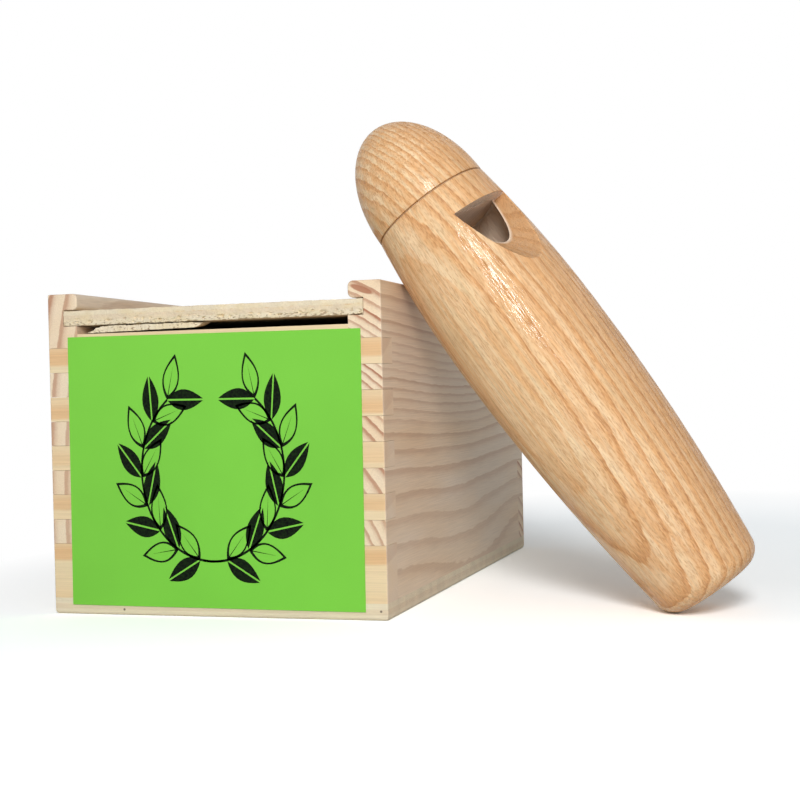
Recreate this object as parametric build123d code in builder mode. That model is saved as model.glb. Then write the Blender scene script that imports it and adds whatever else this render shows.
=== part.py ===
from build123d import *
import os
from math import cos, floor, isclose, radians, sin, sqrt, tan

# A turned wooden bird call and the slide-lid pine box that it is kept in.
# The call stands on its foot beside the box and leans on the top edge of the box's right wall.
# Frame: origin at the middle of the box's underside, X to the right, Y to the back, Z up.
# Lengths are millimetres, angles are degrees.

# Box boards
box_width = 86.0
box_depth = 152.0
wall_height = 74.6
board = 8.0
bottom_thickness = 4.0
edge_round = 0.4
bottom_round = 0.9
glue_line = 0.06

# Finger joints: a long finger at the foot of each front and back corner, then short ones
long_finger = 13.3
finger = 6.0

# Lid, the grooves that it runs in and the lips above them
lid_thickness = 3.7
lid_clearance = 0.15
groove_depth = 3.8
lip = 4.0
lip_round = 1.3
front_slit = 2.0

# Label glued to the front
label_width = 75.5
label_height = 65.5
label_thickness = 0.25
label_margin_left = 5.3
label_margin_bottom = 2.2
label_tilt = -0.3

# Call: a barrel turned to two arcs that meet at the belly, under a domed cap
body_length = 111.5
foot_radius = 12.8
belly_radius = 17.9
belly_height = 71.0
joint_radius = 15.0
dome_height = 23.5
foot_round = 5.0
joint_chamfer = 0.3

# Inside of the call: bore, fipple block, windway and blow hole
bore_radius = 12.5
foot_solid = 12.0
block_rise = 4.0
air_chamber = 2.0
windway = 1.5
blow_radius = 3.0
blow_round = 0.9

# Window, scooped by a round cutter that runs out towards the foot
window_drop = 7.7
window_length = 11.2
scoop_radius = 10.0
scoop_tilt = 32.0

# How the call leans: its rise, its heading, how it is rolled and where it crosses the wall
call_rise = 54.5
call_heading = 184.2
window_roll = -38.0
touch_depth = 19.6
rest_gap = 0.3

# Box: what follows from the sizes above
box_height = bottom_thickness + wall_height
inner_width = box_width - 2 * board
groove_height = lid_thickness + 2 * lid_clearance
groove_top = box_height - lip
groove_bottom = groove_top - groove_height
front_top = groove_bottom - front_slit
finger_start = bottom_thickness + long_finger + finger
finger_count = floor((front_top - finger_start + finger) / (2 * finger))
finger_bottoms = [finger_start + 2 * finger * i for i in range(finger_count)]
front_plane = Plane.XZ.offset(box_depth / 2)
back_plane = Plane.XZ.offset(-box_depth / 2)


def same(a, b):
    """True where two coordinates agree."""
    return isclose(a, b, abs_tol=1e-4)


def at_outer_corner(edge):
    """True for an upright edge that lies on one of the box's four outer corners."""
    middle = edge.center()
    return same(abs(middle.X), box_width / 2) and same(abs(middle.Y), box_depth / 2)


def finger_rows(spare):
    """Rectangles over every finger of a front or back wall, taller by spare at each joint."""
    with Locations((0, bottom_thickness)):
        Rectangle(box_width, long_finger + spare, align=(Align.CENTER, Align.MIN))
    with Locations([(0, bottom - spare) for bottom in finger_bottoms]):
        Rectangle(box_width, finger + 2 * spare, align=(Align.CENTER, Align.MIN))


def end_wall(face_plane, inward, top, grooved):
    """A front or back wall: a board between the sides, with fingers that reach through them."""
    with BuildPart() as wall:
        with BuildSketch(face_plane):
            with Locations((0, bottom_thickness)):
                Rectangle(inner_width, top - bottom_thickness, align=(Align.CENTER, Align.MIN))
            finger_rows(0)
        extrude(amount=inward * board)
        if grooved:
            with BuildSketch(face_plane.offset(inward * (board - groove_depth))):
                with Locations((0, groove_bottom)):
                    Rectangle(inner_width, groove_height, align=(Align.CENTER, Align.MIN))
            extrude(amount=inward * groove_depth, mode=Mode.SUBTRACT)
        fillet(wall.edges().filter_by(Axis.Z).filter_by(at_outer_corner), edge_round)
    return wall


def side_wall(side):
    """A side wall: fingers at both ends, a groove for the lid and a round-nosed lip above it."""
    outer = side * box_width / 2
    inner = side * inner_width / 2
    with BuildPart() as wall:
        with BuildSketch(Plane.XY.offset(bottom_thickness)):
            with Locations(((outer + inner) / 2, 0)):
                Rectangle(board, box_depth)
        extrude(amount=wall_height)
        for face_plane, inward in ((front_plane, -1), (back_plane, 1)):
            with BuildSketch(face_plane):
                finger_rows(glue_line)
            extrude(amount=inward * board, mode=Mode.SUBTRACT)
        with BuildSketch(front_plane):
            with Locations((inner, groove_bottom)):
                Rectangle(2 * groove_depth, groove_height, align=(Align.CENTER, Align.MIN))
        extrude(amount=-box_depth, mode=Mode.SUBTRACT)
        long_edges = wall.edges().filter_by(Axis.Y)
        lip_edges = long_edges.filter_by_position(Axis.Z, groove_top - glue_line, box_height)
        fillet(lip_edges.filter_by(lambda e: same(e.center().X, inner)), min(lip_round, 0.45 * lip))
        rim_edges = wall.edges().filter_by(Axis.Y).group_by(Axis.Z)[-1]
        fillet(rim_edges.filter_by(lambda e: same(e.center().X, outer)), edge_round)
        fillet(wall.edges().filter_by(Axis.Z).filter_by(at_outer_corner), edge_round)
    return wall


left_side = side_wall(-1)
right_side = side_wall(1)

# The front wall stops short of the lid, which slides out over it
front_wall = end_wall(front_plane, -1, front_top, grooved=False)

# The back wall stands to the full height and takes the lid's rear edge in a groove
back_wall = end_wall(back_plane, 1, box_height, grooved=True)

# The bottom board covers the whole footprint and is glued under the walls
with BuildPart() as bottom_board:
    with BuildSketch():
        Rectangle(box_width, box_depth)
    extrude(amount=bottom_thickness)
    fillet(bottom_board.edges().filter_by(Axis.Z), edge_round)
    fillet(bottom_board.faces().sort_by(Axis.Z)[0].edges(), min(bottom_round, 0.4 * bottom_thickness))

# The lid fills the grooves on three sides and ends level with the front
lid_width = inner_width + 2 * (groove_depth - lid_clearance)
lid_length = box_depth - board + groove_depth - lid_clearance
with BuildPart() as sliding_lid:
    with BuildSketch(Plane.XY.offset(groove_bottom + lid_clearance)):
        with Locations((0, -box_depth / 2)):
            Rectangle(lid_width, lid_length, align=(Align.CENTER, Align.MIN))
    extrude(amount=lid_thickness)

# The label is stuck over the front, a little out of square
label_middle = (
    label_margin_left + (label_width - box_width) / 2,
    label_margin_bottom + label_height / 2,
)
with BuildPart() as label_card:
    with BuildSketch(front_plane):
        with Locations(label_middle):
            Rectangle(label_width, label_height, rotation=label_tilt)
    extrude(amount=label_thickness)

# Call: the arcs of its barrel
lower_arc = (belly_height**2 + (belly_radius - foot_radius) ** 2) / (2 * (belly_radius - foot_radius))
upper_height = body_length - belly_height
upper_arc = (upper_height**2 + (belly_radius - joint_radius) ** 2) / (2 * (belly_radius - joint_radius))


def barrel_radius(height):
    """Outer radius of the call's body at a height above its foot, along its own axis."""
    arc = lower_arc if height < belly_height else upper_arc
    return belly_radius - arc + sqrt(arc**2 - (height - belly_height) ** 2)


# Call: the direction of its axis and of its window
level = cos(radians(call_rise))
call_up = Vector(
    level * cos(radians(call_heading)),
    level * sin(radians(call_heading)),
    sin(radians(call_rise)),
)
ridge = (Vector(0, 0, 1) - call_up * call_up.Z).normalized()
window_out = ridge.rotate(Axis((0, 0, 0), call_up), window_roll)

# Call: the round of its foot stands on the ground, and its barrel lies rest_gap off the wall's top edge
foot_inset = sqrt((lower_arc - foot_round) ** 2 - (belly_height - foot_round) ** 2)
foot_ring = belly_radius - lower_arc + foot_inset
foot_height = foot_ring * level + foot_round * (1 - call_up.Z)
wall_edge = Vector(box_width / 2 - edge_round, touch_depth - box_depth / 2, box_height - edge_round)
off_edge = Vector(call_up.Z, 0, -call_up.X).normalized()
touch_height = belly_height
for step in range(30):
    touch_point = wall_edge + off_edge * (barrel_radius(touch_height) + rest_gap + edge_round)
    touch_height = (touch_point.Z - foot_height) / call_up.Z
foot_centre = touch_point - call_up * touch_height
call_axis = Axis(foot_centre, call_up)
call_plane = Plane(foot_centre, x_dir=window_out, z_dir=call_up)
call_section = Plane(foot_centre, x_dir=window_out, z_dir=window_out.cross(call_up))

# The body: barrel, blind bore from the top and the scooped window
window_face = body_length - window_drop
scoop_floor = bore_radius - window_length * tan(radians(scoop_tilt))
scoop_reach = scoop_radius / cos(radians(scoop_tilt))
scoop_way = window_out * sin(radians(scoop_tilt)) - call_up * cos(radians(scoop_tilt))
with BuildPart() as whistle_body:
    with BuildSketch(call_section):
        with BuildLine():
            Line((0, 0), (foot_radius, 0))
            ThreePointArc(
                (foot_radius, 0),
                (barrel_radius(belly_height / 2), belly_height / 2),
                (belly_radius, belly_height),
            )
            ThreePointArc(
                (belly_radius, belly_height),
                (barrel_radius(belly_height + upper_height / 2), belly_height + upper_height / 2),
                (joint_radius, body_length),
            )
            Polyline((joint_radius, body_length), (0, body_length), (0, 0))
        make_face()
    revolve(axis=call_axis)
    fillet(whistle_body.edges().filter_by(GeomType.CIRCLE).sort_by(call_axis)[0], foot_round)
    chamfer(whistle_body.edges().filter_by(GeomType.CIRCLE).sort_by(call_axis)[-1], joint_chamfer)
    with BuildSketch(call_plane.offset(foot_solid)):
        Circle(bore_radius)
    extrude(amount=body_length, mode=Mode.SUBTRACT)
    with BuildSketch(call_plane.offset(window_face)):
        with Locations((scoop_floor + scoop_reach, 0)):
            Ellipse(scoop_reach, scoop_radius)
    extrude(amount=body_length, dir=scoop_way, mode=Mode.SUBTRACT)

# The fipple block plugs the bore, leaves a flat windway on the window's side and keys the cap on
with BuildPart() as fipple_block:
    with BuildSketch(call_plane.offset(window_face)):
        Circle(bore_radius - glue_line)
        with Locations((bore_radius - windway, 0)):
            Rectangle(bore_radius, 2 * bore_radius, align=(Align.MIN, Align.CENTER), mode=Mode.SUBTRACT)
    extrude(amount=window_drop + block_rise)

# The cap: a dome with a socket for the block, an air chamber over it and the blow hole
with BuildPart() as mouth_cap:
    with BuildSketch(call_section):
        with BuildLine():
            Line((0, body_length), (joint_radius, body_length))
            EllipticalCenterArc((0, body_length), joint_radius, dome_height, 0, arc_size=90)
            Line((0, body_length + dome_height), (0, body_length))
        make_face()
    revolve(axis=call_axis)
    chamfer(mouth_cap.edges().filter_by(GeomType.CIRCLE).sort_by(call_axis)[0], joint_chamfer)
    with BuildSketch(call_plane.offset(body_length)):
        Circle(blow_radius)
    extrude(amount=dome_height, mode=Mode.SUBTRACT)
    fillet(mouth_cap.edges().filter_by(GeomType.CIRCLE).sort_by(call_axis)[-1], blow_round)
    with BuildSketch(call_plane.offset(body_length)):
        Circle(bore_radius)
    extrude(amount=block_rise + air_chamber, mode=Mode.SUBTRACT)

pieces = {
    "bottom_board": bottom_board,
    "left_side": left_side,
    "right_side": right_side,
    "front_wall": front_wall,
    "back_wall": back_wall,
    "sliding_lid": sliding_lid,
    "label_card": label_card,
    "whistle_body": whistle_body,
    "fipple_block": fipple_block,
    "mouth_cap": mouth_cap,
}
os.makedirs("parts", exist_ok=True)
for name, piece in pieces.items():
    piece.part.label = name
    export_step(piece.part, f"parts/{name}.step")
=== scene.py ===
from math import cos, pi, radians, sin

import bmesh
import bpy
from mathutils import Euler, Matrix, Vector, noise


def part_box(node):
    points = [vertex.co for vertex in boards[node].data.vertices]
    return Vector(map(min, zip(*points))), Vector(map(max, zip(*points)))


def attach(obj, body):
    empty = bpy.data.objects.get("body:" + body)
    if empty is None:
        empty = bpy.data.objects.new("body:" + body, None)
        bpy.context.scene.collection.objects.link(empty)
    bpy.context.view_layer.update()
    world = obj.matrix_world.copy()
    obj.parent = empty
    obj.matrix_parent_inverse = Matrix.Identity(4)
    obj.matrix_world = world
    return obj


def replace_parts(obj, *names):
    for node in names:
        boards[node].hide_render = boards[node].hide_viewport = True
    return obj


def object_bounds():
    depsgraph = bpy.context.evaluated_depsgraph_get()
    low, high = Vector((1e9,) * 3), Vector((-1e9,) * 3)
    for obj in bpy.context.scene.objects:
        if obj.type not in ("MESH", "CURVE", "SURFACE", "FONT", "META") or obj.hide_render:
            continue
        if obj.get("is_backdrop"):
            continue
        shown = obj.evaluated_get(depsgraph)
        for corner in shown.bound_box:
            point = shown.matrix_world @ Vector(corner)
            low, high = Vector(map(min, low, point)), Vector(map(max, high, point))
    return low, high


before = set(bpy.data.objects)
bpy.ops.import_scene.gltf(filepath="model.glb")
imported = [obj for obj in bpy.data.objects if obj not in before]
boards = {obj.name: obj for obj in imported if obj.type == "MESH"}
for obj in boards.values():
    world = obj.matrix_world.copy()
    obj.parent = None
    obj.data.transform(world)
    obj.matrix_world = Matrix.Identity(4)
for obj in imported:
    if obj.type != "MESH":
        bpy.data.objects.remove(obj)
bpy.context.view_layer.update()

# Bottom board: thin plywood that covers the whole footprint and is glued under the four walls.
# Its sawn edges show the plies as pale layers, and the front edge has two small pin holes, painted as
# dark spots of shade.
MM = 0.001
ply_face = (0.78, 0.67, 0.49, 1)
ply_core = (0.72, 0.58, 0.41, 1)
ply_core_share = 0.8
ply_thickness = 1.3
ply_soft_edge = (0.8, 1.2)
ply_roughness = 0.72
ply_figure = (5, 60)
ply_figure_shade = (0.90, 1.06)
ply_fibre = (0.35, 9)
ply_fibre_shade = (0.93, 1.06)
ply_pores = (0.5, 1.2)
ply_nap = 0.12
noise_span = (0.3, 0.7)
some_detail = 3.0
fine_detail = 4.0
bottom_seed = 3.0
pin_hole_shade = (0.10, 0.07, 0.05, 1)
pin_places = ((-0.0241, -0.076, 0.0014), (0.0413, -0.076, 0.0022))
pin_radius = 0.35 * MM
pin_core = 0.6
pin_share = 0.9
along_x = (0, pi / 2, 0)


def node(tree, kind, sockets=None, **settings):
    """A shader node with its settings made and its sockets set or wired."""
    made = tree.nodes.new("ShaderNode" + kind)
    for name, value in settings.items():
        setattr(made, name, value)
    for name, value in (sockets or {}).items():
        if isinstance(value, bpy.types.NodeSocket):
            tree.links.new(value, made.inputs[name])
        else:
            made.inputs[name].default_value = value
    return made


def sums(tree, operation, *values):
    """The result of one step of arithmetic."""
    return node(tree, "Math", dict(enumerate(values)), operation=operation).outputs[0]


def vectors(tree, operation, *values):
    """The result of one step of arithmetic on vectors."""
    made = node(tree, "VectorMath", dict(enumerate(values)), operation=operation)
    number = operation in ("LENGTH", "DISTANCE", "DOT_PRODUCT")
    return made.outputs["Value" if number else "Vector"]


def spread(tree, value, low, high, start=0.0, end=1.0):
    """A value carried from one range to another, and held at its ends."""
    sockets = {"Value": value, "From Min": start, "From Max": end, "To Min": low, "To Max": high}
    return node(tree, "MapRange", sockets).outputs["Result"]


def blend(tree, share, first, second, way="MIX"):
    """Two colours mixed by a share."""
    made = node(tree, "Mix", {0: share, 6: first, 7: second}, data_type="RGBA", blend_type=way)
    return made.outputs[2]


def shaded(tree, colour, *shares):
    """A colour made lighter or darker by each share."""
    for share in shares:
        grey = node(tree, "CombineXYZ", {0: share, 1: share, 2: share}).outputs[0]
        colour = blend(tree, 1.0, colour, grey, "MULTIPLY")
    return colour


def spot(tree):
    """The place that is being shaded, in metres."""
    return node(tree, "TexCoord").outputs["Object"]


def parts(tree, place):
    """The X, Y and Z of a place."""
    return node(tree, "SeparateXYZ", {0: place}).outputs


def own_frame(tree, origin, turn):
    """Millimetres from a point on the wood's pith, with Z along the grain."""
    sockets = {"Vector": spot(tree), "Location": origin, "Rotation": turn, "Scale": (MM, MM, MM)}
    return node(tree, "Mapping", sockets, vector_type="TEXTURE").outputs["Vector"]


def speckle(tree, own, across, along, seed, detail=2.0):
    """Noise with features of these sizes in millimetres, across and along the grain."""
    squeezed = vectors(tree, "MULTIPLY", own, (1 / across, 1 / across, 1 / along))
    sockets = {"Vector": squeezed, "W": seed, "Scale": 1.0, "Detail": detail}
    return node(tree, "TexNoise", sockets, noise_dimensions="4D").outputs


def shader(name, roughness):
    """A new material, with its tree and its surface shader."""
    material = bpy.data.materials.new(name)
    material.use_nodes = True
    surface = material.node_tree.nodes["Principled BSDF"]
    surface.inputs["Roughness"].default_value = roughness
    return material, material.node_tree, surface


def relief(tree, surface, height, depth, onto="Normal"):
    """Bump of that depth in millimetres, on the surface or on its coat."""
    bump = node(tree, "Bump", {"Height": height, "Distance": depth * MM, "Strength": 1.0})
    tree.links.new(bump.outputs["Normal"], surface.inputs[onto])


def dress(name, material):
    """Gives a board its wood."""
    boards[name].material_slots[0].material = material


def plywood(name, seed, turn, middle, nap=ply_nap):
    """Pale three-ply: cream faces, a darker core on the edges, faint figure and a fuzzy nap."""
    material, tree, surface = shader(name, ply_roughness)
    own = own_frame(tree, (0, 0, middle), turn)
    off_middle = sums(tree, "ABSOLUTE", sums(tree, "SUBTRACT", parts(tree, spot(tree))["Z"], middle))
    core_edge = [ply_thickness * MM / 2 * share for share in ply_soft_edge]
    core = spread(tree, off_middle, ply_core_share, 0.0, *core_edge)
    figure = speckle(tree, own, *ply_figure, seed)["Fac"]
    fibre = speckle(tree, own, *ply_fibre, seed + 1, fine_detail)["Fac"]
    pores = speckle(tree, own, *ply_pores, seed + 2, some_detail)["Fac"]
    colour = blend(tree, core, ply_face, ply_core)
    colour = shaded(tree, colour, spread(tree, figure, *ply_figure_shade, *noise_span))
    colour = shaded(tree, colour, spread(tree, fibre, *ply_fibre_shade, *noise_span))
    relief(tree, surface, sums(tree, "ADD", fibre, pores), nap)
    return material, tree, surface, colour


bottom_low, bottom_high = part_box("bottom_board")
bottom_middle = (bottom_low.z + bottom_high.z) / 2
bottom_ply, tree, surface, colour = plywood("bottom_ply", bottom_seed, along_x, bottom_middle)
# Painted shade: each pin hole is a dark spot in the colour, not a hole in the mesh.
for pin in pin_places:
    off_pin = vectors(tree, "DISTANCE", spot(tree), pin)
    hole = spread(tree, off_pin, pin_share, 0.0, pin_radius * pin_core, pin_radius)
    colour = blend(tree, hole, colour, pin_hole_shade)
tree.links.new(colour, surface.inputs["Base Color"])
dress("bottom_board", bottom_ply)


# Side walls: planed pine boards, finger-jointed to the end walls, grooved near the top for the lid.
# The rings on their end grain run on as bands along the faces, because both are cut from one log,
# so each board is given the place of its pith and the width of its rings.
along_y = (-pi / 2, 0, 0)
pine_end = (0.83, 0.68, 0.50, 1)
pine_face = (0.82, 0.68, 0.53, 1)
pine_late = (0.46, 0.25, 0.14, 1)
pine_red = (0.38, 0.14, 0.07, 1)
pine_warm = (0.80, 0.56, 0.33, 1)
pine_warm_share = (0.0, 0.6)
pine_roughness = 0.58
pine_gloss = 0.25
pine_bend = (35, 110)
pine_ragged = (1.6, 6)
pine_ragged_reach = 0.6
pine_blotch = (14, 70)
pine_blotch_span = (0.4, 0.75)
pine_fibre = (0.3, 14)
pine_fibre_shade = (0.92, 1.07)
pine_year = ((0.0, 0.0), (0.42, 0.06), (0.64, 0.4), (0.8, 1.0), (0.95, 0.95), (1.0, 0.0))
pine_year_share = (0.45, 1.0)
pine_end_span = (0.6, 0.8)
pine_late_rise = 0.6
pine_relief = 0.06
bow_length = 152.0
right_pith = (-0.011, 0, -0.009)
right_ring = 2.22
right_period = 38
right_phase = 67.2
right_years = (right_period, -0.97, -2 * pi * right_phase / right_period)
right_stray = 4.0
right_lines = (0.6, 1.0)
right_bow = 1.8
right_seed = 11.0
left_pith = (0.161, -0.076, 0.030)
left_turn = (-pi / 2, 0, 0.06)
left_ring = 3.8
left_years = (60, 0.3, 0)
left_stray = 2.0
left_lines = (0.5, 0.9)
left_seed = 21.0
resin_place = (0.0384, -0.076, 0.0765)
resin_lean = (0, 0.37, 0)
resin_streak = (3.3, 4.0, 0.8)
resin_share = 0.85
resin_edge = (0.75, 1.0)


def profile(tree, value, *stops):
    """A value read off a curve of (place, height) stops."""
    ramp = node(tree, "ValToRGB", {"Fac": value})
    marks = ramp.color_ramp.elements
    while len(marks) < len(stops):
        marks.new(0.5)
    for mark, (place, height) in zip(marks, stops):
        mark.position = place
        mark.color = (height, height, height, 1)
    return ramp.outputs["Color"]


def strayed(tree, own, place, size, reach, seed, detail=2.0):
    """A place pushed so far across the grain by noise with features of that size."""
    push = speckle(tree, own, *size, seed, detail)["Color"]
    push = vectors(tree, "SUBTRACT", push, (0.5, 0.5, 0.5))
    return vectors(tree, "MULTIPLY_ADD", push, (reach, reach, 0), place)


def off_axis(tree, place):
    """How far a place is from the Z axis of its frame."""
    return vectors(tree, "LENGTH", vectors(tree, "MULTIPLY", place, (1, 1, 0)))


def year_chance(tree, age):
    """A number from 0 to 1 that is the same all round one ring."""
    number = sums(tree, "FLOOR", age)
    return node(tree, "TexWhiteNoise", {"W": number}, noise_dimensions="1D").outputs["Value"]


def pine(
    name, pith, turn, ring, years, stray, lines, seed,
    face=pine_face, end=pine_end, band=pine_late, bow=0.0,
):
    """Bare pine: cream early wood that darkens to a thin reddish line, sharp on its outer side.
    The lines have one strength on the faces and another on end grain, and bow along the board."""
    material, tree, surface = shader(name, pine_roughness)
    surface.inputs["Specular IOR Level"].default_value = pine_gloss
    own = own_frame(tree, pith, turn)
    bent = strayed(tree, own, own, pine_bend, stray, seed)
    bent = strayed(tree, own, bent, pine_ragged, pine_ragged_reach, seed + 1)
    wave = sums(tree, "MULTIPLY", parts(tree, own)["Z"], 2 * pi / bow_length)
    sag = spread(tree, sums(tree, "COSINE", wave), 0.0, bow, -1.0, 1.0)
    radius = sums(tree, "ADD", off_axis(tree, bent), sag)
    period, swing, start = years
    lean = sums(tree, "SINE", sums(tree, "MULTIPLY_ADD", radius, 2 * pi / period, start))
    age = sums(tree, "MULTIPLY_ADD", lean, swing, sums(tree, "DIVIDE", radius, ring))
    late = profile(tree, sums(tree, "FRACT", age), *pine_year)
    late = sums(tree, "MULTIPLY", late, spread(tree, year_chance(tree, age), *pine_year_share))
    grain = Euler(turn).to_matrix() @ Vector((0, 0, 1))
    along = vectors(tree, "DOT_PRODUCT", node(tree, "NewGeometry").outputs["Normal"], tuple(grain))
    end_grain = spread(tree, sums(tree, "ABSOLUTE", along), 0.0, 1.0, *pine_end_span)
    late = sums(tree, "MULTIPLY", late, spread(tree, end_grain, *lines))
    blotch = speckle(tree, own, *pine_blotch, seed + 2)["Fac"]
    fibre = speckle(tree, own, *pine_fibre, seed + 3, fine_detail)["Fac"]
    colour = blend(tree, end_grain, face, end)
    warm = spread(tree, blotch, *pine_warm_share, *pine_blotch_span)
    colour = blend(tree, warm, colour, pine_warm)
    colour = blend(tree, late, colour, blend(tree, end_grain, band, pine_red))
    colour = shaded(tree, colour, spread(tree, fibre, *pine_fibre_shade, *noise_span))
    tree.links.new(colour, surface.inputs["Base Color"])
    relief(tree, surface, sums(tree, "MULTIPLY_ADD", late, pine_late_rise, fibre), pine_relief)
    return material


right_pine = pine(
    "right_pine", right_pith, along_y, right_ring, right_years, right_stray, right_lines, right_seed,
    bow=right_bow,
)
tree = right_pine.node_tree
base = tree.nodes["Principled BSDF"].inputs["Base Color"]
off_resin = vectors(tree, "DIVIDE", own_frame(tree, resin_place, resin_lean), resin_streak)
resin = spread(tree, vectors(tree, "LENGTH", off_resin), resin_share, 0.0, *resin_edge)
tree.links.new(blend(tree, resin, base.links[0].from_socket, pine_red), base)
dress("right_side", right_pine)
left_pine = pine(
    "left_pine", left_pith, left_turn, left_ring, left_years, left_stray, left_lines, left_seed
)
dress("left_side", left_pine)


# End walls: the same pine laid the other way, with fingers that come through to the outer faces.
# The front one stops short of the lid; the back one stands full height.
front_pith = (0, -0.090, 0.0946)
front_ring = 12.0
front_years = (60, 0.1, 0)
front_stray = 1.5
front_lines = (0.85, 0.2)
front_seed = 31.0
front_face = (0.80, 0.65, 0.42, 1)
front_band = (0.72, 0.43, 0.21, 1)
back_pith = (0, 0.055, -0.020)
back_ring = 3.1
back_years = (34, 0.5, 2)
back_stray = 3.0
back_lines = (0.55, 0.9)
back_seed = 41.0
front_pine = pine(
    "front_pine", front_pith, along_x, front_ring, front_years, front_stray, front_lines, front_seed,
    front_face, pine_face, front_band,
)
dress("front_wall", front_pine)
back_pine = pine(
    "back_pine", back_pith, along_x, back_ring, back_years, back_stray, back_lines, back_seed
)
dress("back_wall", back_pine)


# Label: a sheet of bright green paper, glued over the front a little out of square and printed in
# black with a wreath of two leafy sprigs. The print is ink, so it is a film laid on the paper.
label_green = (0.20, 0.59, 0.06, 1)
label_low, label_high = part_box("label_card")
label_front = label_low.y
label_middle = (label_low + label_high) / 2
label_tilt = radians(-0.3)
paper_roughness = 0.75
paper_gloss = 0.2
paper_cloud = (30, 30)
paper_cloud_shade = (0.96, 1.04)
paper_tooth = (0.25, 0.25)
paper_tooth_shade = (0.975, 1.025)
paper_relief = 0.012
paper_seed = 51.0
ink_black = (0.004, 0.004, 0.005, 1)
ink_roughness = 0.8
ink_gloss = 0.05
ink_patch = (0.6, 0.6)
ink_patch_share = (0.0, 0.05)
ink_patch_span = (0.35, 0.8)
ink_seed = 55.0
ink_lift = 0.03 * MM
wreath_radius = 20 * MM
wreath_stretch = (0.92, 1.08)
stem_width = 0.55 * MM
stem_start = radians(262)
stem_sweep = radians(150)
stem_steps = 60
leaf_length = 10.5 * MM
leaf_width = 4.6 * MM
leaf_points = 28
leaf_belly = 0.25
leaf_tip_inset = 5
leaf_gap = 0.4 * MM
leaf_line = 0.4 * MM
leaf_midrib = ((0.05, -0.3), (0.05, 0.3), (0.75, 0.0))
leaf_lean = radians(38)
leaf_count = 8
unturned = (0, 0, 0)

paper, tree, surface = shader("label_paper", paper_roughness)
surface.inputs["Specular IOR Level"].default_value = paper_gloss
own = own_frame(tree, (0, 0, 0), unturned)
cloud = speckle(tree, own, *paper_cloud, paper_seed)["Fac"]
tooth = speckle(tree, own, *paper_tooth, paper_seed + 1, some_detail)["Fac"]
colour = shaded(tree, label_green, spread(tree, cloud, *paper_cloud_shade, *noise_span))
colour = shaded(tree, colour, spread(tree, tooth, *paper_tooth_shade, *noise_span))
tree.links.new(colour, surface.inputs["Base Color"])
relief(tree, surface, tooth, paper_relief)
dress("label_card", paper)


def blade(bm, drawn_in, filled):
    """The pointed outline of a leaf along X, drawn in by a line's width or not."""
    points = bmesh.ops.create_circle(bm, cap_ends=filled, segments=leaf_points, radius=1.0)["verts"]
    for point in points:
        along = point.co.x
        half_width = (1 - leaf_belly * along) * (leaf_width / 2 - drawn_in)
        point.co.x = (leaf_length + along * (leaf_length - leaf_tip_inset * drawn_in)) / 2
        point.co.y *= (1 - along * along) ** 0.5 * half_width
    return points


def leaf(bm, base, heading, outlined):
    """One pointed leaf: solid with a bare midrib, or drawn as an outline with a thin midrib."""
    if outlined:
        points = blade(bm, 0.0, False) + blade(bm, leaf_line, False)
        bmesh.ops.bridge_loops(bm, edges=list({edge for point in points for edge in point.link_edges}))
        for along, across in leaf_midrib:
            points.append(bm.verts.new((along * leaf_length, across * leaf_line, 0)))
        bm.faces.new(points[-3:])
    else:
        points = blade(bm, 0.0, True)
        around = {part for point in points for part in (*point.link_edges, *point.link_faces)}
        halves = points + list(around)
        for side in (1, -1):
            rib = (0, side * leaf_gap / 2, 0)
            halves = bmesh.ops.bisect_plane(bm, geom=halves, plane_co=rib, plane_no=(0, 1, 0))["geom"]
        points = [part for part in halves if isinstance(part, bmesh.types.BMVert)]
        faces = [part for part in halves if isinstance(part, bmesh.types.BMFace)]
        bare = [face for face in faces if abs(face.calc_center_median().y) < leaf_gap / 2]
        bmesh.ops.delete(bm, geom=bare, context="FACES_ONLY")
    placed = Matrix.Translation(base) @ Matrix.Rotation(heading, 4, "Z")
    bmesh.ops.transform(bm, matrix=placed, verts=points)


def piece(name, bm, material, body):
    """A finished piece from its mesh, riding on a body."""
    mesh = bpy.data.meshes.new(name)
    bm.to_mesh(mesh)
    bm.free()
    mesh.materials.append(material)
    made = bpy.data.objects.new(name, mesh)
    bpy.context.scene.collection.objects.link(made)
    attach(made, body)
    return made


print_mesh = bmesh.new()
for side in (1, -1):
    stem = [
        print_mesh.verts.new((wreath_radius + edge * stem_width / 2, 0, 0)) for edge in (-1, 1)
    ]
    stem_edge = print_mesh.edges.new(stem)
    bmesh.ops.rotate(print_mesh, verts=stem, cent=(0, 0, 0), matrix=Matrix.Rotation(stem_start, 3, "Z"))
    bmesh.ops.spin(
        print_mesh,
        geom=stem + [stem_edge],
        cent=(0, 0, 0),
        axis=(0, 0, 1),
        angle=stem_sweep,
        steps=stem_steps,
    )
    for place in range(leaf_count):
        turn = stem_start + stem_sweep * (place + 1) / leaf_count
        for rank, out in enumerate((1, -1)):
            base = Vector((cos(turn), sin(turn), 0)) * wreath_radius
            heading = turn + pi / 2 - out * leaf_lean
            leaf(print_mesh, base, heading, outlined=(place + rank) % 2 == 1)
    if side == 1:
        bmesh.ops.scale(print_mesh, vec=(-1, 1, 1), verts=print_mesh.verts)
bmesh.ops.scale(print_mesh, vec=(*wreath_stretch, 1), verts=print_mesh.verts)
onto_label = (
    Matrix.Translation((label_middle.x, label_front - ink_lift, label_middle.z))
    @ Matrix.Rotation(pi / 2, 4, "X")
    @ Matrix.Rotation(label_tilt, 4, "Z")
)
bmesh.ops.transform(print_mesh, matrix=onto_label, verts=print_mesh.verts)
bmesh.ops.recalc_face_normals(print_mesh, faces=print_mesh.faces)
for face in print_mesh.faces:
    if face.normal.y > 0:
        face.normal_flip()
ink, tree, surface = shader("label_ink", ink_roughness)
surface.inputs["Specular IOR Level"].default_value = ink_gloss
own = own_frame(tree, (0, 0, 0), unturned)
patchy = speckle(tree, own, *ink_patch, ink_seed, some_detail)["Fac"]
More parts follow.
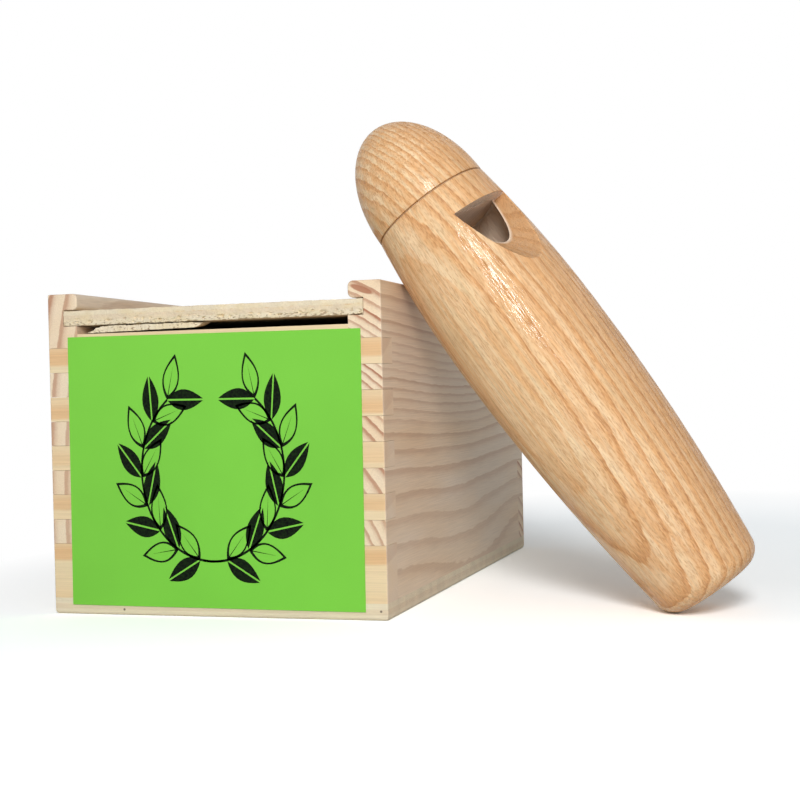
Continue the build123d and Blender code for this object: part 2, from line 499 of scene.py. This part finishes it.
patchy = spread(tree, patchy, *ink_patch_share, *ink_patch_span)
tree.links.new(blend(tree, patchy, ink_black, label_green), surface.inputs["Base Color"])
piece("label_print", print_mesh, ink, "box")


# Lid: a thin plywood board that slides in the side grooves and stops level with the front.
# Its front edge is left from the saw: fuzzy all over, pitted along its lower half and chipped
# along both arrises.
lid_low, lid_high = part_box("sliding_lid")
lid_size = lid_high - lid_low
lid_middle = (lid_low + lid_high) / 2
lid_nap = 0.06
lid_seed = 61.0
edge_columns = 260
edge_rows = 14
edge_depth = 1.2 * MM
edge_fade = (0.9 * MM, 1.1 * MM)
fuzz_depth = 0.08 * MM
fuzz_level = 0.6
fuzz_fine = (0.45 * MM, 0.4 * MM, 1.0)
fuzz_coarse = (1.6 * MM, 0.9 * MM, 2.0)
fuzz_coarse_share = 0.7
pit_depth = 1.2 * MM
pit_noise = (0.9 * MM, 0.5 * MM, 3.0)
pit_start = 0.12
pit_rise = 0.26
chip_depth = 0.45 * MM
chip_noise = (1.3 * MM, 9 * MM, 4.0)
chip_level = 0.1
worn_noise = (2.1 * MM, 9 * MM, 5.0)
worn_level = 0.3
worn_share = 0.5
arris_depth = 0.15 * MM
pit_shade_brown = (0.24, 0.15, 0.08, 1)
torn_orange = (0.62, 0.38, 0.17, 1)
torn_ochre = (0.74, 0.60, 0.36, 1)
# Each kind of speck: ochre and orange torn fibre, and brown painted shade in the pits of the lower half.
# Columns: colour, share, width and height of a speck, the strength over the height of the edge,
# the span of the noise, and its seed.
fibre_and_pit_shade_kinds = (
    (torn_ochre, 0.55, (4.5, 1.6), ((0.0, 1.0), (1.0, 1.0)), (0.45, 0.65), 64.0),
    (torn_orange, 0.5, (1.7, 0.35), ((0.5, 0.0), (0.66, 1.0), (0.82, 0.0)), (0.56, 0.66), 65.0),
    # Painted shade: dark brown specks in the pits along the lower part of the sawn edge.
    (pit_shade_brown, 0.75, (0.8, 0.4), ((0.0, 1.0), (0.2, 1.0), (0.36, 0.0)), (0.55, 0.64), 66.0),
)


def wander(place, wide, high, seed):
    """Smooth noise from -1 to 1, with features of that width and height."""
    return noise.noise((place.x / wide, place.y / wide + seed, place.z / high))


lid_mesh = bmesh.new()
bmesh.ops.create_grid(lid_mesh, x_segments=edge_columns, y_segments=edge_rows, size=0.5)
edge_size = Matrix.Diagonal((lid_size.x, 1, lid_size.z, 1))
edge_place = Matrix.Translation((lid_middle.x, lid_low.y, lid_middle.z))
edge_turn = Matrix.Rotation(pi / 2, 4, "X")
bmesh.ops.transform(lid_mesh, matrix=edge_place @ edge_size @ edge_turn, verts=lid_mesh.verts)
sawn = list(lid_mesh.verts)
grown = bmesh.ops.extrude_face_region(lid_mesh, geom=lid_mesh.faces[:], use_keep_orig=True)["geom"]
behind = [part for part in grown if isinstance(part, bmesh.types.BMVert)]
bmesh.ops.translate(lid_mesh, vec=(0, lid_size.y, 0), verts=behind)
bmesh.ops.bisect_plane(
    lid_mesh,
    geom=lid_mesh.verts[:] + lid_mesh.edges[:] + lid_mesh.faces[:],
    plane_co=(0, lid_low.y + edge_depth, 0),
    plane_no=(0, 1, 0),
)
for point in sawn:
    rise = (point.co.z - lid_low.z) / lid_size.z
    fuzz = fuzz_level + wander(point.co, *fuzz_fine) + fuzz_coarse_share * wander(point.co, *fuzz_coarse)
    pit_band = max(0.0, 1 - abs(rise - pit_rise) / pit_rise)
    pit = max(0.0, wander(point.co, *pit_noise) - pit_start) * pit_band
    chip = max(0.0, wander(point.co, *chip_noise) + chip_level)
    worn = max(0.0, wander(point.co, *worn_noise) + worn_level)
    arris = (2 * rise - 1) ** 8
    point.co.y += max(0.0, fuzz) * fuzz_depth + pit * pit_depth + arris * arris_depth
    point.co.z += chip_depth * (chip * (1 - rise) ** 5 - worn_share * worn * rise ** 6)
bmesh.ops.recalc_face_normals(lid_mesh, faces=lid_mesh.faces)

lid_ply, tree, surface, colour = plywood("lid_ply", lid_seed, along_y, lid_middle.z, lid_nap)
own = own_frame(tree, lid_middle, along_y)
apart = parts(tree, spot(tree))
sawn_edge = spread(tree, apart["Y"], 1.0, 0.0, *(lid_low.y + depth for depth in edge_fade))
rise = spread(tree, apart["Z"], 0.0, 1.0, lid_low.z, lid_high.z)
for tint, share, (wide, high), band, span, seed in fibre_and_pit_shade_kinds:
    squeezed = vectors(tree, "MULTIPLY", own, (1 / wide, 1 / high, 1.0))
    sockets = {"Vector": squeezed, "W": seed, "Scale": 1.0}
    specks = node(tree, "TexNoise", sockets, noise_dimensions="4D").outputs["Fac"]
    shown = sums(tree, "MULTIPLY", spread(tree, specks, 0.0, share, *span), sawn_edge)
    shown = sums(tree, "MULTIPLY", shown, profile(tree, rise, *band))
    colour = blend(tree, shown, colour, tint)
tree.links.new(colour, surface.inputs["Base Color"])
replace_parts(piece("lid_board", lid_mesh, lid_ply, "lid"), "sliding_lid")


# Torn strip: veneer that split off under the lid's front edge and still hangs from it in the slit.
# Its left end is cut to a slant, its lower edge is ragged, and it thins out to a blunt right end.
strip_left = -32.3 * MM
strip_right = -2.4 * MM
strip_length = strip_right - strip_left
strip_depth = 5.0 * MM
strip_thick = 1.6 * MM
strip_thin = 1.15 * MM
strip_droop = 0.36 * MM
strip_columns = 90
strip_rows = 8
slant_share = 0.95
slant_length = 0.14
blunt_length = 0.05
blunt_depth = 2 * MM
ragged_coarse = (1.4 * MM, 1.0 * MM, 7.0)
ragged_fine = (0.5 * MM, 0.5 * MM, 8.0)
ragged_fine_share = 0.6
ragged_upper = 0.6
ragged_lower = 0.2
ragged_front = 0.25 * MM
strip_tuck = 0.05 * MM
strip_mesh = bmesh.new()
bmesh.ops.create_grid(strip_mesh, x_segments=strip_columns, y_segments=strip_rows, size=0.5)
grown = bmesh.ops.extrude_face_region(strip_mesh, geom=strip_mesh.faces[:], use_keep_orig=True)["geom"]
strip_lower = [part for part in grown if isinstance(part, bmesh.types.BMVert)]
bmesh.ops.translate(strip_mesh, vec=(0, 0, -1), verts=strip_lower)
for point in strip_mesh.verts:
    along = point.co.x + 0.5
    inward = point.co.y + 0.5
    upper = point.co.z > -0.5
    thick = strip_thick + (strip_thin - strip_thick) * along
    slant = slant_share * thick * max(0.0, 1 - along / slant_length)
    blunt = min(1.0, (1 - along) / blunt_length) ** 0.5
    point.co = Vector((strip_left + along * strip_length, lid_low.y + inward * strip_depth, lid_low.z))
    ragged = wander(point.co, *ragged_coarse) + ragged_fine_share * wander(point.co, *ragged_fine)
    hang = 1.0 + (ragged_upper if upper else ragged_lower) * ragged
    point.co.z -= strip_droop * (1 - inward) * hang
    point.co.z += strip_tuck * inward
    point.co.z -= slant if upper else thick * blunt
    point.co.y += blunt_depth * (1 - blunt)
    point.co.y += ragged_front * (1 - inward) * (1 + ragged)
bmesh.ops.recalc_face_normals(strip_mesh, faces=strip_mesh.faces)
piece("torn_strip", strip_mesh, lid_ply, "lid")


# Call: a barrel turned from ash, its blind bore drilled from the top and its window scooped out by
# a round cutter. Satin varnish lies thin over open pores, so highlights break up along the grain,
# and the scoop, cut across the grain, has soaked up more of it.
call_foot = Vector((0.114956, -0.052105, 0.005837))
call_up = Vector((-0.579143, -0.042530, 0.814116))
window_out = Vector((0.684899, -0.567023, 0.457600))
call_turn = Matrix((window_out, call_up.cross(window_out), call_up)).transposed()
ash_pale = (0.92, 0.67, 0.41, 1)
ash_honey = (0.76, 0.41, 0.18, 1)
ash_brown = (0.52, 0.235, 0.09, 1)
ash_khaki = (0.76, 0.53, 0.29, 1)
ash_roughness = 0.5
ash_gloss = 0.05
ash_bend = (14, 70)
ash_bend_reach = 4.0
ash_ragged = (1.0, 6.0)
ash_ragged_reach = 0.7
ash_year_share = (0.7, 1.0)
ash_outer = (53, 55.5)
ash_outer_share = (1.0, 0.35)
ash_dash = (0.24, 2.0)
ash_dash_span = (0.52, 0.64)
ash_dash_share = 0.35
ash_dash_lines = (0.7, 1.15, 0.35, 0.65)
ash_dash_sink = -0.6
ash_fibre = (0.45, 14)
ash_fibre_shade = (0.88, 1.11)
ash_blotch = (9, 30)
ash_streak = (1.3, 38)
ash_relief = 0.10
# How each tint is laid on: its least and most share, over this range of the noise or line.
khaki_blotch = (0.0, 0.8, 0.4, 0.7)
honey_heart = (0.65, 0.0)
honey_streak = (0.0, 0.7, 0.42, 0.62)
honey_line = (0.0, 0.9, 0.0, 0.5)
brown_line = (0.0, 0.95, 0.4, 0.9)
coat_flecks = (0.45, 4.5)
coat_weight = (0.0, 0.7, 0.45, 0.60)
coat_relief = 0.09
body_coat = 0.12
body_ring = 2.2
body_lines = (
    (0.0, 0.3), (0.05, 0.95), (0.16, 0.75), (0.36, 0.45), (0.55, 0.12), (0.85, 0.0), (1.0, 0.05),
)
body_heart = (38, 54)
body_pith_angle = radians(88)
body_pith_distance = 38.5 * MM
body_seed = 71.0
joint_height = 111.5
# Painted shade along the joint groove: its colour, and its share over the distance from the joint.
groove_shade_brown = (0.27, 0.11, 0.02, 1)
groove_shade_line = (0.9, 0.0, 0.10, 0.30)
belly_radius = 17.9
belly_height = 71.0
belly_arc = 284.3
bore_radius = 12.5
bore_edge = (0.1, 0.55)
bore_floor = 11.0
bore_share = 0.8
bore_pale = (0.94, 0.78, 0.62, 1)
window_top = 103.8
scoop_tan = (0.55, 0.30, 0.14, 1)
scoop_share = 0.6
scoop_depth = (0.12, 0.35)
# The lip under the window's top is bare wood, paler than the varnish, and painted paler still as painted
# light, because it faces down into shade.
bare_lip_and_painted_light = (0.97, 0.76, 0.60, 1)
lip_share = 0.9
lip_edge = (-0.5, -0.2)


def ash(name, origin, turn, ring, stops, heart, coat, seed):
    """Varnished ash: each ring opens with a dark porous line and pales to the next one.
    The wood is warmer nearer the pith, and its lines fade in the outermost rings."""
    material, tree, surface = shader(name, ash_roughness)
    own = own_frame(tree, origin, turn)
    bent = strayed(tree, own, own, ash_bend, ash_bend_reach, seed)
    bent = strayed(tree, own, bent, ash_ragged, ash_ragged_reach, seed + 1, some_detail)
    radius = off_axis(tree, bent)
    age = sums(tree, "DIVIDE", radius, ring)
    dashes = speckle(tree, own, *ash_dash, seed + 2)["Fac"]
    dash = spread(tree, dashes, 0.0, 1.0, *ash_dash_span)
    fibre = speckle(tree, own, *ash_fibre, seed + 3, fine_detail)["Fac"]
    blotch = speckle(tree, own, *ash_blotch, seed + 4)["Fac"]
    flecks = speckle(tree, own, *coat_flecks, seed + 5)["Fac"]
    streak = speckle(tree, own, *ash_streak, seed + 6, some_detail)["Fac"]
    line = profile(tree, sums(tree, "FRACT", age), *stops)
    line = sums(tree, "MULTIPLY", line, spread(tree, year_chance(tree, age), *ash_year_share))
    line = sums(tree, "MULTIPLY", line, spread(tree, radius, *ash_outer_share, *ash_outer))
    line = sums(tree, "MULTIPLY", line, spread(tree, dashes, *ash_dash_lines))
    colour = blend(tree, spread(tree, blotch, *khaki_blotch), ash_pale, ash_khaki)
    colour = blend(tree, spread(tree, radius, *honey_heart, *heart), colour, ash_honey)
    colour = blend(tree, spread(tree, streak, *honey_streak), colour, ash_honey)
    colour = blend(tree, spread(tree, line, *honey_line), colour, ash_honey)
    colour = blend(tree, spread(tree, line, *brown_line), colour, ash_brown)
    colour = blend(tree, sums(tree, "MULTIPLY", dash, ash_dash_share), colour, ash_brown)
    colour = shaded(tree, colour, spread(tree, fibre, *ash_fibre_shade, *noise_span))
    surface.inputs["Specular IOR Level"].default_value = ash_gloss
    surface.inputs["Coat Roughness"].default_value = coat
    tree.links.new(spread(tree, flecks, *coat_weight), surface.inputs["Coat Weight"])
    relief(tree, surface, sums(tree, "MULTIPLY_ADD", dash, ash_dash_sink, fibre), ash_relief)
    relief(tree, surface, flecks, coat_relief, "Coat Normal")
    # Painted shade: a dark brown line along the groove where the barrel meets the cap.
    along = parts(tree, own_frame(tree, call_foot, call_turn.to_euler()))["Z"]
    off_joint = sums(tree, "ABSOLUTE", sums(tree, "SUBTRACT", along, joint_height))
    colour = blend(tree, spread(tree, off_joint, *groove_shade_line), colour, groove_shade_brown)
    return material, tree, surface, colour


def call_side(angle):
    """The direction off the call's axis at that angle from the window."""
    return window_out * cos(angle) + call_up.cross(window_out) * sin(angle)


body_pith = call_foot + call_side(body_pith_angle) * body_pith_distance
body_turn = call_turn.to_euler()
body_ash, tree, surface, colour = ash(
    "body_ash", body_pith, body_turn, body_ring, body_lines, body_heart, body_coat, body_seed
)
turned = own_frame(tree, call_foot, body_turn)
along = parts(tree, turned)["Z"]
thick = off_axis(tree, turned)
off_belly = sums(tree, "SUBTRACT", along, belly_height)
taper = sums(tree, "DIVIDE", sums(tree, "MULTIPLY", off_belly, off_belly), 2 * belly_arc)
deep = sums(tree, "SUBTRACT", belly_radius, sums(tree, "ADD", thick, taper))
# Bare wood and painted light on the lip under the window's top edge.
lip = spread(tree, along, 0.0, lip_share, *(window_top + edge for edge in lip_edge))
scooped = blend(tree, lip, blend(tree, scoop_share, colour, scoop_tan), bare_lip_and_painted_light)
colour = blend(tree, spread(tree, deep, 0.0, 1.0, *scoop_depth), colour, scooped)
bored = spread(tree, thick, bore_share, 0.0, *(bore_radius + edge for edge in bore_edge))
bored = sums(tree, "MULTIPLY", bored, spread(tree, along, 0.0, 1.0, bore_floor, bore_floor + 1))
colour = blend(tree, bored, colour, bore_pale)
tree.links.new(colour, surface.inputs["Base Color"])
dress("whistle_body", body_ash)


# Fipple block: a bare wooden plug glued in the top of the bore, flat on one side for the windway.
# The cap is pressed over its upper end.
block_ring = 2.0
block_years = (30, 0.2, 0)
block_stray = 2.0
block_lines = (0.1, 0.15)
block_seed = 81.0
block_tan = (0.92, 0.68, 0.52, 1)
block_wood = pine(
    "block_wood", body_pith, body_turn, block_ring, block_years, block_stray, block_lines, block_seed,
    block_tan, block_tan,
)
dress("fipple_block", block_wood)


# Cap: a dome of the same ash from another stick, so its rings don't meet those of the barrel.
# A blow hole is drilled through its tip.
cap_ring = 1.6
cap_lines = (
    (0.0, 0.3), (0.07, 0.8), (0.22, 0.62), (0.42, 0.4), (0.62, 0.1), (0.85, 0.0), (1.0, 0.05),
)
cap_heart = (18, 30)
cap_coat = 0.18
cap_seed = 91.0
cap_tip = radians(7)
cap_spin = radians(20)
cap_rise = 111 * MM
cap_pith_angle = radians(50)
cap_pith_distance = 31 * MM
cap_turn = call_turn @ Matrix.Rotation(cap_tip, 3, "X") @ Matrix.Rotation(cap_spin, 3, "Z")
cap_pith = call_foot + call_up * cap_rise + call_side(cap_pith_angle) * cap_pith_distance
cap_ash, tree, surface, colour = ash(
    "cap_ash", cap_pith, cap_turn.to_euler(), cap_ring, cap_lines, cap_heart, cap_coat, cap_seed
)
tree.links.new(colour, surface.inputs["Base Color"])
dress("mouth_cap", cap_ash)


# Stage: a plain floor that keeps the shadows near the object and is seen as white farther off, a
# white surround, a soft lamp high in front and a weak wide one from the right.
floor_half = 4.0
floor_white = 0.85
floor_tint = (0.94, 0.98, 1.0, 1)
floor_seen = (1.8, 2.6)
floor_reach = (0.0, 0.25)
floor_fade = (0.11, 0.20)
floor_middle = (0.075, -0.03, 0)
floor_squeeze = (1, 0.55, 1)
sky_low = 0.46
sky_high = 0.12
object_middle = Vector((0.03, 0, 0.04))
key_place = Vector((0.196, -0.606, 0.310))
key_size = (0.13, 0.21)
key_power = 2.65
fill_place = Vector((0.75, -0.95, 0.22))
fill_size = (0.5, 0.5)
fill_power = 0.6


def seen_rays(tree):
    """1 for rays that show the stage directly, in a mirror or through glass, else 0."""
    path = node(tree, "LightPath").outputs
    shown = sums(tree, "MAXIMUM", path["Is Camera Ray"], path["Is Glossy Ray"])
    return sums(tree, "MAXIMUM", shown, path["Is Transmission Ray"])


floor_mesh = bmesh.new()
bmesh.ops.create_grid(floor_mesh, x_segments=1, y_segments=1, size=floor_half)
floor_data = bpy.data.meshes.new("floor")
floor_mesh.to_mesh(floor_data)
floor_mesh.free()
floor = bpy.data.objects.new("floor", floor_data)
bpy.context.scene.collection.objects.link(floor)
floor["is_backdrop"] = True
floor_paint = bpy.data.materials.new("floor_white")
floor_paint.use_nodes = True
tree = floor_paint.node_tree
tree.nodes.remove(tree.nodes["Principled BSDF"])
seen = seen_rays(tree)
place = spot(tree)
shown = spread(tree, parts(tree, place)["Y"], *floor_seen, *floor_reach)
paint = shaded(tree, floor_tint, spread(tree, seen, floor_white, shown))
white = node(tree, "BsdfDiffuse", {"Color": paint}).outputs[0]
glow = node(tree, "Emission", {"Strength": 1.0}).outputs[0]
off_middle = vectors(tree, "SUBTRACT", place, floor_middle)
away = vectors(tree, "LENGTH", vectors(tree, "MULTIPLY", off_middle, floor_squeeze))
far = sums(tree, "MULTIPLY", seen, spread(tree, away, 0.0, 1.0, *floor_fade))
surface = node(tree, "MixShader", {0: far, 1: white, 2: glow}).outputs[0]
tree.links.new(surface, tree.nodes["Material Output"].inputs["Surface"])
floor_data.materials.append(floor_paint)

world = bpy.data.worlds.new("white_surround")
world.use_nodes = True
bpy.context.scene.world = world
tree = world.node_tree
sky = tree.nodes["Background"]
sky.inputs["Color"].default_value = (1, 1, 1, 1)
upward = parts(tree, node(tree, "TexCoord").outputs["Generated"])["Z"]
level = spread(tree, seen_rays(tree), spread(tree, upward, sky_low, sky_high), 1.0)
tree.links.new(level, sky.inputs["Strength"])


def lamp(name, place, size, power):
    """A soft lamp, so wide and high, aimed at the object."""
    light = bpy.data.lights.new(name, "AREA")
    light.shape = "RECTANGLE"
    light.size, light.size_y = size
    light.energy = power
    made = bpy.data.objects.new(name, light)
    made.location = place
    made.rotation_euler = (object_middle - place).to_track_quat("-Z", "Y").to_euler()
    bpy.context.scene.collection.objects.link(made)


lamp("key", key_place, key_size, key_power)
lamp("fill", fill_place, fill_size, fill_power)

# Camera: level with the middle of the box, a little to its right, at the photograph's distance.
# Its lens is given by a focal length in pixels of a square picture.
camera_place = Vector((0.14189, -0.39126, 0.05307))
camera_right = Vector((0.95738, 0.28777, -0.02451))
camera_ahead = Vector((-0.28802, 0.95760, -0.00700))
camera_up = Vector((0.02145, 0.01376, 0.99968))
sensor_width = 36
focal_pixels = 1440.97
picture_pixels = 800
near_clip = 0.01
camera_data = bpy.data.cameras.new("camera")
camera_data.sensor_width = sensor_width
camera_data.lens = sensor_width * focal_pixels / picture_pixels
camera_data.clip_start = near_clip
camera = bpy.data.objects.new("camera", camera_data)
camera.matrix_world = Matrix.Translation(camera_place) @ (
    Matrix((camera_right, camera_up, -camera_ahead)).transposed().to_4x4()
)
bpy.context.scene.collection.objects.link(camera)
bpy.context.scene.camera = camera
bpy.context.scene.view_settings.view_transform = "Standard"

low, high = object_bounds()
